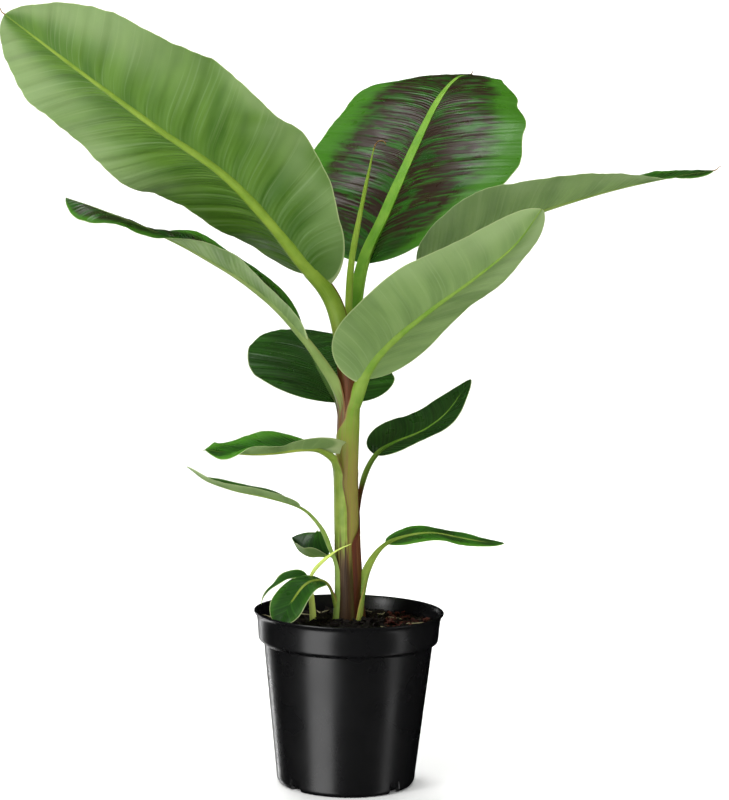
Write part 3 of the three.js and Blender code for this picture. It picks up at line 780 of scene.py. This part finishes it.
class PlantSettings(bpy.types.PropertyGroup):
    """Sizes and colours of the plant."""

    blade_thickness: thickness("Blade thickness", "How thick a leaf blade is", 0.8, 0.3)
    vein_spacing: thickness("Vein spacing", "Between fine veins, coarse enough to show", 3.2, 0.5)
    leaf_green: paint("Leaf green", "#35701c", "Upper face")
    leaf_deep_green: paint("Deep green", "#28501a", "Upper face between veins")
    leaf_bright_green: paint("Bright green", "#4c8a22", "Upper face at margins and veins")
    leaf_dark: paint("Dark green", "#172f10", "Upper face of old leaves")
    blotch_brown: paint("Blotch brown", "#33251b", "Wine-brown blotches")
    under_yellow: paint("Underside yellow-green", "#639024", "Young underside")
    under_green: paint("Underside green", "#497714", "Young underside, deeper")
    # Painted shade: the darker green laid on the underside towards the stalk.
    under_base_shade: paint("Underside deep green", "#3f6b14", "Young underside near the stalk")
    under_sage: paint("Underside sage", "#8dab66", "Bloomed underside")
    under_sage_deep: paint("Underside deep sage", "#7a9857", "Bloomed underside, deeper")
    under_bloom: paint("Bloom", "#a6c082", "Waxy bloom on the underside")
    margin_line: paint("Margin line", "#b9c88e", "Thin line round the blade")


class PotSettings(bpy.types.PropertyGroup):
    """Sizes and colours of the pot and its soil."""

    wall: thickness("Wall", "How thick the pot's wall is", 1.8, 0.8)
    sides: IntProperty(name="Sides", description="Points round the pot", default=256, min=32)
    plastic: paint("Plastic", "#101011", "Polypropylene")
    plastic_dust: paint("Dust", "#151516", "Handling dust")
    chips: IntProperty(name="Bark chips", description="How many chips lie on the soil", default=420, min=0)


# ---------------------------------------------------------------- pot and soil

POT_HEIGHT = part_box("pot")[1].z / MM
# Radii of the lip, of the band under it, of the wall's top and of the foot; the band's lower edge's height.
LIP, BAND, SHOULDER, FOOT = 120.0, 113.6, 107.0, 87.5
BAND_LOW = 181.5
SLOT_DEPTH, SLOT_HEIGHT, SLOT_HALF = 14.0, 14.5, 8.2


def filleted(corners, steps=5):
    """A profile with each corner (radius, height, fillet) rounded by a quadratic arc."""
    c = np.array(corners, float)
    out = [c[:1, :2]]
    t = np.linspace(0, 1, steps)[:, None]
    for k in range(1, len(c) - 1):
        p, q, n = c[k - 1, :2], c[k, :2], c[k + 1, :2]
        a = q + (p - q) / np.linalg.norm(p - q) * min(c[k, 2], 0.45 * np.linalg.norm(p - q))
        b = q + (n - q) / np.linalg.norm(n - q) * min(c[k, 2], 0.45 * np.linalg.norm(n - q))
        out.append((1 - t) ** 2 * a + 2 * t * (1 - t) * q + t**2 * b)
    out.append(c[-1:, :2])
    return np.vstack(out)


def lathe(name, profile, sides, materials, shape=None, sharp=35):
    """A surface of revolution: the profile turned about the upright axis, its poles closed to points.
    `shape` may move the rings (radius, height) as a function of the angle."""
    angle = np.arange(sides) / sides * TURN
    r, z = (np.repeat(profile[:, k][:, None], sides, 1) for k in (0, 1))
    if shape:
        r, z = shape(r, z, angle)
    rings = np.stack([r * np.cos(angle), r * np.sin(angle), z], -1)
    return skin(name, rings, materials, sharp=sharp)


class PLANT_OT_pot(bpy.types.Operator):
    """Builds the tapered nursery pot: a flared thin lip, a band below it and drain slots at the foot."""

    bl_idname = "plant.pot"
    bl_label = "Pot"

    def execute(self, context):
        p = context.scene.pot_settings
        h, w = POT_HEIGHT, p.wall / MM
        corners = [
            (0.5, 0.0, 0), (30, 0.0, 1), (34, 0.8, 1), (FOOT - 20, 0.8, 1), (FOOT - 17, 0.0, 1),
            (FOOT - 3, 0.0, 3), (FOOT, 4.5, 3), (FOOT + 0.6, 13, 4), (SHOULDER - 0.3, BAND_LOW - 4.6, 2),
            (BAND - 0.9, BAND_LOW - 1.4, 1.2), (BAND, BAND_LOW + 1.2, 1), (BAND + 1.4, h - 15, 6),
            (BAND + 3, h - 6, 6), (LIP - 0.3, h - 2.2, 0.8), (LIP, h - 0.9, 0.5), (LIP - 0.8, h, 0.4),
            (LIP - 3, h - 0.8, 1), (BAND + 2.6 - w, h - 8, 6), (BAND + 0.2 - w, h - 17, 6),
            (BAND - 0.8 - w, BAND_LOW + 1, 2), (SHOULDER - w, BAND_LOW - 4, 2), (FOOT - w, 7, 3),
            (FOOT - 6, 2.4, 2), (0.5, 2.4, 0),
        ]
        profile = filleted(corners)
        body = lathe("pot_shell", profile, p.sides, [moulded_plastic(p)], drain_slots, sharp=32)
        hand_in(body, "pot_plastic", "pot")
        return {"FINISHED"}


def drain_slots(r, z, angle):
    """Four slots at the foot: between their sides the outer corner of floor and wall is pushed in and
    lifted to the slot's depth and height, as a box-shaped recess."""
    for k in range(4):
        off = (angle - TURN / 8 - TURN / 4 * k + np.pi) % TURN - np.pi
        inside = np.abs(off) * FOOT < SLOT_HALF
        corner = (np.arange(len(r)) < len(r) // 2)[:, None] & inside[None]
        low = corner & (z < SLOT_HEIGHT) & (r > FOOT - SLOT_DEPTH)
        outer = low & (r > FOOT - 1.6)
        r = np.where(low & ~outer, FOOT - SLOT_DEPTH, r)
        z = np.where(outer, SLOT_HEIGHT, z)
        rise = low & ~outer & (z > 0.05)
        z = np.where(rise, SLOT_HEIGHT, z)
    return r, z


class PLANT_OT_soil(bpy.types.Operator):
    """Builds the potting soil as a bumpy disc, with bark chips and dry straws lying on it."""

    bl_idname = "plant.soil"
    bl_label = "Soil"

    def execute(self, context):
        p = context.scene.pot_settings
        rng = np.random.default_rng(7)
        inner = BAND - p.wall / MM - 0.4
        floor = np.array([[0.5, 3.0], [FOOT - 8, 3.0], [FOOT - 4, 8.0], [SHOULDER - 3.2, 170.0]])
        top = np.linspace(1, 0.004, 90)
        crust = np.stack([top * inner, np.full(90, float(SOIL_TOP))], 1)
        profile = np.vstack([floor, [[inner - 3, 186.0]], crust])

        def heave(r, z, angle):
            """Lifts the crust to its heaped height and roughens it by waves that cross."""
            x, y = r * np.cos(angle), r * np.sin(angle)
            bumps = ripple(x + 0.6 * y, 3, [31, 17, 9.5, 6.1], [1.3, 0.9, 0.6, 0.45])
            bumps += ripple(y - 0.5 * x, 4, [27, 14, 8.3, 5.2], [1.2, 0.9, 0.6, 0.45])
            return r, np.where(z > SOIL_TOP - 1, soil_height(r) + bumps * 0.8, z)

        soil = granular("damp_potting_soil", "#060403", "#120b06", 3.846, 0.95, 0.002)
        bed = lathe("soil_bed", profile, 240, [soil], heave, sharp=180)
        hand_in(bed, "soil", "soil")
        chips = scatter_chips(rng, p.chips, inner)
        hand_in(chips, "soil", "soil")
        hand_in(straws(rng, inner), "soil", "soil")
        return {"FINISHED"}


def soil_height(r):
    """The soil is heaped up a little round the stem and against the pot."""
    return SOIL_TOP + 12.0 * (1 - smooth((r - 26) / 52)) + 3.0 * smooth((r - 80) / 35)


def turned(count, rng, tilt):
    """Seeded rotation matrices: any turn about the upright axis, then a small tilt."""
    a, b, c = rng.uniform(0, TURN, count), rng.normal(0, tilt, count), rng.normal(0, tilt, count)
    one, zero = np.ones(count), np.zeros(count)
    about_z = np.array([[np.cos(a), -np.sin(a), zero], [np.sin(a), np.cos(a), zero], [zero, zero, one]])
    about_x = np.array([[one, zero, zero], [zero, np.cos(b), -np.sin(b)], [zero, np.sin(b), np.cos(b)]])
    about_y = np.array([[np.cos(c), zero, np.sin(c)], [zero, one, zero], [-np.sin(c), zero, np.cos(c)]])
    return np.einsum("ijn,jkn,kln->nil", about_z, about_x, about_y)


def scatter_chips(rng, count, reach):
    """Bark chips: one eight-cornered lump, its corners moved a little, sized, turned and placed by
    arrays of seeded numbers."""
    lump = np.array([[x, y, z] for x in (-1, 1) for y in (-1, 1) for z in (-1, 1)], float)
    quads = np.array([[0, 1, 3, 2], [4, 6, 7, 5], [0, 4, 5, 1], [2, 3, 7, 6], [0, 2, 6, 4], [1, 5, 7, 3]])
    shape = lump[None] * (1 + rng.uniform(-0.45, 0.25, (count, 8, 3)))
    spans = ((1.6, 6.5), (1.2, 4.0), (0.6, 1.8))
    size = np.stack([rng.uniform(low, high, count) for low, high in spans], 1)
    distance = np.sqrt(rng.uniform(0.05, 1, count)) * (reach - 6)
    heaped = rng.uniform(size=count) < 0.55
    angle = np.where(heaped, rng.normal(0.15, 0.75, count), rng.uniform(0, TURN, count))
    place = np.stack([distance * np.cos(angle), distance * np.sin(angle), soil_height(distance) + 1.2], 1)
    place[:, 2] += rng.uniform(0, 1.4, count)
    verts = np.einsum("nij,nkj->nki", turned(count, rng, 0.45), shape * size[:, None]) + place[:, None]
    faces = (quads[None] + 8 * np.arange(count)[:, None, None]).reshape(-1, 4)
    tones = [
        granular("composted_bark_brown", "#1e0b06", "#4e1e12", 2.381, 0.85, 0.001),
        granular("composted_bark_dark", "#0a0705", "#1c120b", 2.381, 0.9, 0.001),
    ]
    red = (place[:, 0] > 44) & (rng.uniform(size=count) < 0.6)
    index = np.repeat(np.where(red, 0, 1), 6)
    return mesh_object("bark_chips", verts.reshape(-1, 3), faces, tones, index, sharp=30)


def straws(rng, reach):
    """Dry straws: thin tubes carried along bent lines that lie on the soil, joined in one mesh."""
    count, rows, around = 12, 9, 6
    t = np.linspace(-1, 1, rows)
    where = np.array([[38, 52], [-36, 56], [-99, 14], [52, -40], [70, -58], [-20, -84], [84, 10], [60, 44],
                      [-60, 60], [10, 84], [-48, -70], [34, -92]], float)
    angle, half = rng.uniform(0, np.pi, count), rng.uniform(6, 15, count)
    bow = rng.uniform(-3, 3, count)
    angle[:3], half[:3], bow[:3] = [0.95, -1.2, -0.7], [22, 24, 20], [6, 2, 2]
    way = np.stack([np.cos(angle), np.sin(angle)], 1)
    square = np.stack([-np.sin(angle), np.cos(angle)], 1)
    flat = where[:, None] + way[:, None] * (half[:, None] * t)[..., None]
    flat = flat + square[:, None] * (bow[:, None] * t**2)[..., None]
    raised = np.where(np.arange(count) < 3, 1.6, 0.0)[:, None]
    height = soil_height(np.linalg.norm(flat, axis=2)) + 4.6 + raised
    centre = np.concatenate([flat, height[..., None]], 2)
    phi = np.arange(around) / around * TURN
    level = np.concatenate([square, np.zeros((count, 1))], 1)[:, None, None]
    cos, sin = (turn[None, None, :, None] for turn in (np.cos(phi), np.sin(phi)))
    ring = 0.9 * (cos * level + sin * UP)
    rings = centre[:, :, None] + ring * (1 - 0.6 * t[None, :, None, None] ** 4)
    quads, first, last = skin_faces(rows, around)
    each = rows * around + 2
    ends = np.stack([centre[:, 0], centre[:, -1]], 1)
    verts = np.concatenate([rings.reshape(count, -1, 3), ends], 1).reshape(-1, 3)
    shift = each * np.arange(count)[:, None, None]
    kinds = [(kind[None] + shift).reshape(-1, kind.shape[1]) for kind in (quads, first, last)]
    faces = [*kinds[0], *kinds[1], *kinds[2]]
    straw = granular("dry_straw", "#6f6a4c", "#9a9470", 3.333, 0.7, 0.0003)
    return mesh_object("straws", verts, faces, [straw], sharp=60)


# ---------------------------------------------------------------- stem


def tube_marks(like, run, turn, radius):
    """The attributes a stalk finish reads, for a plain tube."""
    full = np.ones(like.shape)
    return dict(rim=full * 50, along=full * run[:, None], free=full, height=full * 900,
                round=full * np.abs(turn - np.pi)[None] * radius)


class PLANT_OT_stem(bpy.types.Operator):
    """Builds the stem's core: a tapering column, waved a little where the inner sheaths press out."""

    bl_idname = "plant.stem"
    bl_label = "Stem"

    def execute(self, context):
        rows, around = 220, 96
        u = np.linspace(0, 1, rows)
        z = SOIL_TOP - 2 + u * (566 - SOIL_TOP)
        centre = stem_axis(z)
        radius = eased(STEM_RADII, u) - 5.6
        radius = radius * (1 - 0.55 * smooth((u - 0.9) / 0.1))
        angle = np.arange(around) / around * TURN
        high = u[:, None]
        swell = 1 + 0.03 * np.sin(3 * angle + 4 * high) + 0.02 * np.sin(7 * angle + 9 * high)
        r = radius[:, None] * swell
        rings = centre[:, None] + np.stack([r * np.cos(angle), r * np.sin(angle), np.zeros_like(r)], -1)
        marks = tube_marks(r, z, angle, 12)
        browns = ("#4f3018", "#6a4a28", "#3a1f0f", "#3a1f0f")
        core = leaf_stalk_skin("inner_sheaths_brown", *browns, 200, 260, 1)
        hand_in(skin("stem_core", rings, [core], None, marks), "stem", "stem")
        return {"FINISHED"}


# ---------------------------------------------------------------- pieces of the leaves


# Each stalk's green, second green, dry margin and aged colour; the heights between which it ages and the
# width of its dry margin, in millimetres; how much of that margin the free stalk keeps, and how dark it
# grows near the soil, partly a soil stain and partly painted shadow.
STALK_FINISH = {
    "upper_left": ("#6f8f28", "#85a035", "#6f3a1c", "#553820", 520, 585, 3.0, 0.75),
    "back": ("#649a2a", "#7eac3a", "#8a8a40", "#5f6a2c", 540, 580, 2.0, 0.1),
    "far_right": ("#6d8a38", "#7f964a", "#5a4028", "#4d3722", 500, 560, 2.0, 0.2),
    "front_right": ("#668d2a", "#7c9a38", "#86703e", "#80822f", 385, 500, 2.0, 0.1, 0.8),
    "middle_left": ("#6c8640", "#7f9450", "#75502f", "#5f4634", 455, 500, 2.6, 0.2),
    "low_back": ("#3c5a26", "#4a682c", "#7a4d28", "#5f4026", 440, 480, 3.0, 0.2),
    "low_right": ("#4f7a22", "#6a8c30", "#5a2c18", "#744a26", 330, 372, 9.0, 0.1, 0.5),
    # Its ageing heights put its dark band where the side shoot's folded leaf casts a shadow: partly painted
    # shadow.
    "low_left": ("#6f8a2c", "#94a644", "#6a5028", "#3a2810", 278, 314, 2.2, 0.15, 0.75),
    "lower_left": ("#6c8a34", "#86a04c", "#8a8048", "#6f7a34", 190, 215, 1.6, 0.1),
    "small_back": ("#5a7a2c", "#6f8c3a", "#7a6a38", "#5f5a2c", 190, 215, 1.6, 0.1),
    "lower_right": ("#6d8a2e", "#8fa648", "#a09048", "#8a9044", 190, 236, 1.8, 0.1),
    "base_left": ("#6a8228", "#84963a", "#7a5028", "#6a6a2c", 190, 220, 1.6, 0.3),
}


# Dry threads at the tips of three leaves, as bent lines.
TIP_THREADS = {
    "upper_left": [(-388, -249, 912.5), (-393, -252, 916), (-396, -253, 922), (-401, -254, 927)],
    "far_right": [(432, -45, 774.5), (437, -45, 776), (440, -45, 779), (443, -45, 780.5)],
    "back": [(157, 363, 937), (160, 370, 940), (162, 374, 945)],
}


BIG_LEAF = 350  # mm of middle line past which a blade gets the finer grid


class PLANT_OT_leaves(bpy.types.Operator):
    """Builds every leaf: its thin blade and the limb that is its sheath, stalk and rib."""

    bl_idname = "plant.leaves"
    bl_label = "Leaves"

    def execute(self, context):
        p = context.scene.plant_settings
        upper, under = leaf_upper(p), leaf_under(p)
        for seed, (name, leaf) in enumerate(LEAVES.items()):
            _, length = sampled(leaf["path"])
            rows, across = (260, 121) if length[-1] > BIG_LEAF else (150, 61)
            faces = [upper, under]
            thick = p.blade_thickness / MM
            blade = leaf_blade("blade_" + name, leaf, rows, across, thick, faces, 11 * seed)
            hand_in(blade, "leaf", "leaf_" + name)
            finish = leaf_stalk_skin("leaf_stalk_" + name, *STALK_FINISH[name])
            hand_in(leaf_stalk("limb_" + name, leaf, [finish]), "stalk", "stalk_" + name)
            if name in TIP_THREADS:
                hand_in(thread_tube("tip_" + name, TIP_THREADS[name], 0.9, 0.4), "leaf", "leaf_" + name)
        return {"FINISHED"}


class PLANT_OT_rolled_leaf(bpy.types.Operator):
    """Builds the rolled new leaf: a tapering tube whose radius grows once round, so it closes with a
    step like rolled paper, and the dry thread at its tip."""

    bl_idname = "plant.rolled_leaf"
    bl_label = "Rolled leaf"

    def execute(self, context):
        path = [(-7, 2, 555), (-8, 4, 608), (-5, 9, 662), (7, 14, 734), (19, 20, 799)]
        rows, around = 160, 48
        s = np.linspace(0, 1, rows)
        centre, direction, length = along(path, s)
        face, side = crossframe(direction, np.tile([0.4, 0.6, 0.0], (rows, 1)), np.zeros(rows))
        angle = np.arange(around) / around
        radius = eased([5, 4.6, 4, 2.6, 0.8], s)[:, None] * (0.9 + 0.2 * angle[None])
        turn = TURN * (angle[None] + 0.35 * s[:, None] + 0.55)
        rings = carried(centre, side, face, radius * np.cos(turn), radius * np.sin(turn))
        marks = tube_marks(radius, s * length, TURN * angle, 9)
        finish = leaf_stalk_skin("rolled_young_leaf", "#7f9f30", "#93ae42", "#7a8a30", "#7f9f30", 0, 1, 0.1)
        hand_in(skin("rolled_leaf_tube", rings, [finish], None, marks, sharp=40), "leaf", "rolled_leaf")
        thread = [(18.6, 20, 795), (21, 20, 803), (25, 19, 808), (31, 18, 808), (34, 17, 804)]
        hand_in(thread_tube("rolled_leaf_thread", thread, 0.9, 0.5), "leaf", "rolled_leaf")
        return {"FINISHED"}


def thread_tube(name, path, thick, thin, colours=("#6a4a22", "#9a7636")):
    """A dry thread: a thin tube along a bent line."""
    rows, around = 24, 8
    s = np.linspace(0, 1, rows)
    centre, direction, _ = along(path, s)
    face, side = crossframe(direction, np.tile([0.3, 0.5, 0.0], (rows, 1)), np.zeros(rows))
    turn = np.arange(around) / around * TURN
    r = (thick + (thin - thick) * s)[:, None]
    rings = carried(centre, side, face, r * np.cos(turn), r * np.sin(turn))
    return skin(name, rings, [granular("dry_leaf_thread", *colours, 2.5, 0.7, 0.0002)])


class PLANT_OT_shoot(bpy.types.Operator):
    """Builds the side shoot: a pale stem, its green lightened as painted light, one narrow curled leaf and
    one still folded.
    """

    bl_idname = "plant.shoot"
    bl_label = "Side shoot"

    def execute(self, context):
        p = context.scene.plant_settings
        # Partly painted light: the pale green is laid on lighter than the shoot's own, to stand in for
        # light where the leaves shade it; the folded leaf shares it.
        pale_painted_light = leaf_stalk_skin("young_shoot_stem_painted_light", "#c6da5c", "#d6e878", "#7a7a34", "#8fa83c", 0, 1, 0.1)
        rows, around = 60, 24
        s = np.linspace(0, 1, rows)
        path = [(-44, 0, SOIL_TOP - 2), (-47, -2, 225), (-51, -6, 258)]
        centre, direction, length = along(path, s)
        turn = np.arange(around) / around * TURN
        r = eased([4.4, 3.9, 2.8], s)[:, None] * (1 + 0.04 * np.sin(2 * turn[None]))
        rings = centre[:, None] + np.stack([r * np.cos(turn), r * np.sin(turn), np.zeros_like(r)], -1)
        marks = tube_marks(r, s * length, turn, 4)
        hand_in(skin("shoot_stem_tube", rings, [pale_painted_light], None, marks), "stalk", "shoot_stem")
        leaf = PLAIN_LEAF | dict(
            path=[(-51, -6, 257), (-59, -8, 262), (-71, -11, 262), (-84, -14, 257), (-97, -17, 247),
                  (-107, -20, 236), (-110, -22, 226)],
            blade=0, left=[7, 9, 5, 2.6], right=[7, 9, 5, 2.6], widest=0.3, base=2, tip=1.6,
            roll=[-32, -26], fold_left=[20], fold_right=[20], slant=16, rib=[1.4, 1, 0.6], sage=0.4,
            dark=0.5, blotch=0.0, creases=0.15, sway=1.0, sways=3,
        )
        blade = leaf_blade("blade_shoot", leaf, 120, 31, 0.6, [leaf_upper(p), leaf_under(p)], 200)
        hand_in(blade, "leaf", "leaf_shoot")
        folded = [(-51, -6, 256), (-43, -14, 271), (-30, -27, 286), (-15, -33, 298), (1, -36, 306)]
        rows, around = 70, 20
        s = np.linspace(0, 1, rows)
        centre, direction, length = along(folded, s)
        face, side = crossframe(direction, np.zeros((rows, 3)), np.zeros(rows))
        turn = np.arange(around) / around * TURN
        r = eased([2.2, 2.8, 2.4, 1.1, 0.5], s)[:, None]
        x, y = r * np.cos(turn) * 0.75, r * np.sin(turn) * (1 - 0.35 * (np.sin(turn) > 0.9))
        rings = carried(centre, side, face, x, y)
        marks = tube_marks(x, s * length, turn, 4)
        tube = skin("shoot_folded_blade", rings, [pale_painted_light], None, marks)
        hand_in(tube, "leaf", "shoot_folded_leaf")
        return {"FINISHED"}


# ---------------------------------------------------------------- stage


def soft_light(name, place, aim, size, power, diffuse=True, glossy=True):
    """An area lamp at a place, turned to aim at another; it may serve only for shading or only for
    reflections, as flags and screens do in a studio."""
    lamp = bpy.data.lights.new(name, "AREA")
    lamp.shape, lamp.size, lamp.size_y, lamp.energy = "RECTANGLE", size[0], size[1], power
    made = bpy.data.objects.new(name, lamp)
    bpy.context.scene.collection.objects.link(made)
    made.visible_diffuse, made.visible_glossy = diffuse, glossy
    back = np.subtract(place, aim).astype(float)
    back /= np.linalg.norm(back)
    side = np.cross(UP, back)
    side /= np.linalg.norm(side)
    axes = Matrix(np.stack([side, np.cross(back, side), back], 1).tolist()).to_4x4()
    made.matrix_world = Matrix.Translation(place) @ axes
    return made


def stage_plane(name, corners, material):
    """A flat pale plane that lights the plant softly but is not mirrored in it."""
    mesh = bpy.data.meshes.new(name)
    mesh.from_pydata(corners, [], [(0, 1, 2, 3)])
    mesh.materials.append(material)
    made = bpy.data.objects.new(name, mesh)
    bpy.context.scene.collection.objects.link(made)
    made.visible_glossy = made.visible_shadow = False


class PLANT_OT_stage(bpy.types.Operator):
    """Sets the stage: a pale floor, a bright even surround, soft lamps and the camera."""

    bl_idname = "plant.stage"
    bl_label = "Stage"

    def execute(self, context):
        scene = context.scene
        made, tree, surface = new_material("pale_painted_floor")
        surface.inputs["Base Color"].default_value = linear("#f4f4f3")
        surface.inputs["Roughness"].default_value = 0.85
        stage_plane("floor", [(-6, -6, 0), (6, -6, 0), (6, 6, 0), (-6, 6, 0)], made)
        stage_plane("backdrop", [(-6, 3.5, 0), (6, 3.5, 0), (6, 3.5, 6), (-6, 3.5, 6)], made)
        world = bpy.data.worlds.new("even_surround")
        world.use_nodes = True
        world.node_tree.nodes["Background"].inputs["Color"].default_value = (1, 1, 1, 1)
        world.node_tree.nodes["Background"].inputs["Strength"].default_value = 0.5
        scene.world = world
        world.cycles_visibility.glossy = False
        soft_light("left_softbox", (-1.7, -1.6, 1.3), (0, 0, 0.45), (0.6, 1.5), 28)
        soft_light("right_fill", (1.7, -1.6, 1.0), (0, 0, 0.35), (0.6, 1.4), 12, glossy=False)
        soft_light("high_softbox", (-0.8, -1.2, 2.4), (0, 0, 0.6), (1.2, 0.9), 24, glossy=False)
        soft_light("rear_softbox", (-0.9, 1.7, 2.0), (-0.1, 0, 0.6), (1.4, 1.0), 30, glossy=False)
        soft_light("low_fill", (0.2, -2.4, 0.15), (0, 0, 0.7), (1.6, 0.5), 7, glossy=False)
        soft_light("low_rear_fill", (0.3, 2.3, 0.1), (0, 0, 0.7), (1.6, 0.6), 7, glossy=False)
        soft_light("backdrop_wash", (0, 2.0, 3.4), (0, 3.5, 1.2), (3.5, 0.5), 120, glossy=False)
        soft_light("left_strip", (-1.3, -1.6, -0.5), (0, 0, 0.1), (1.3, 2.2), 37, diffuse=False)
        soft_light("right_strip", (1.9, -0.7, -0.6), (0, 0, 0.1), (0.4, 2.2), 5, diffuse=False)
        soft_light("edge_strip", (-1.2, 1.8, -0.4), (0, 0, 0.1), (0.2, 1.6), 7, diffuse=False)
        soft_light("overhead_strip", (-0.3, 0.4, 2.6), (0, 0.2, 0.8), (0.8, 0.5), 8, diffuse=False)
        scene.view_settings.view_transform = "Standard"
        pitch, roll = math.radians(3.3), math.radians(1.2)
        ahead = np.array([0, math.cos(pitch), -math.sin(pitch)])
        right, up = np.array([1.0, 0, 0]), np.array([0, math.sin(pitch), math.cos(pitch)])
        turned_right = right * math.cos(roll) + up * math.sin(roll)
        turned_up = up * math.cos(roll) - right * math.sin(roll)
        camera = bpy.data.objects.new("camera", bpy.data.cameras.new("camera"))
        camera.data.lens = 79
        camera.data.sensor_width = 36
        scene.collection.objects.link(camera)
        axes = Matrix(np.stack([turned_right, turned_up, -ahead], 1).tolist()).to_4x4()
        camera.matrix_world = Matrix.Translation((0.014, -2.2, 0.61)) @ axes
        scene.camera = camera
        return {"FINISHED"}


class PLANT_PT_panel(bpy.types.Panel):
    """Lists the plant's pieces."""

    bl_idname = "PLANT_PT_panel"
    bl_label = "Potted plant"
    bl_space_type = "VIEW_3D"
    bl_region_type = "UI"
    bl_category = "Plant"

    def draw(self, context):
        for step in STEPS:
            self.layout.operator(step)
        for settings in (context.scene.plant_settings, context.scene.pot_settings):
            for key in settings.__annotations__:
                self.layout.prop(settings, key)


STEPS = ["plant.pot", "plant.soil", "plant.stem", "plant.leaves", "plant.rolled_leaf", "plant.shoot",
         "plant.stage"]
CLASSES = [PlantSettings, PotSettings, PLANT_OT_pot, PLANT_OT_soil, PLANT_OT_stem, PLANT_OT_leaves,
           PLANT_OT_rolled_leaf, PLANT_OT_shoot, PLANT_OT_stage, PLANT_PT_panel]


def register():
    for c in CLASSES:
        bpy.utils.register_class(c)
    bpy.types.Scene.plant_settings = PointerProperty(type=PlantSettings)
    bpy.types.Scene.pot_settings = PointerProperty(type=PotSettings)


def unregister():
    del bpy.types.Scene.plant_settings, bpy.types.Scene.pot_settings
    for c in reversed(CLASSES):
        bpy.utils.unregister_class(c)


def main():
    register()
    for step in STEPS:
        group, name = step.split(".")
        getattr(getattr(bpy.ops, group), name)()


if __name__ == "__main__":
    main()
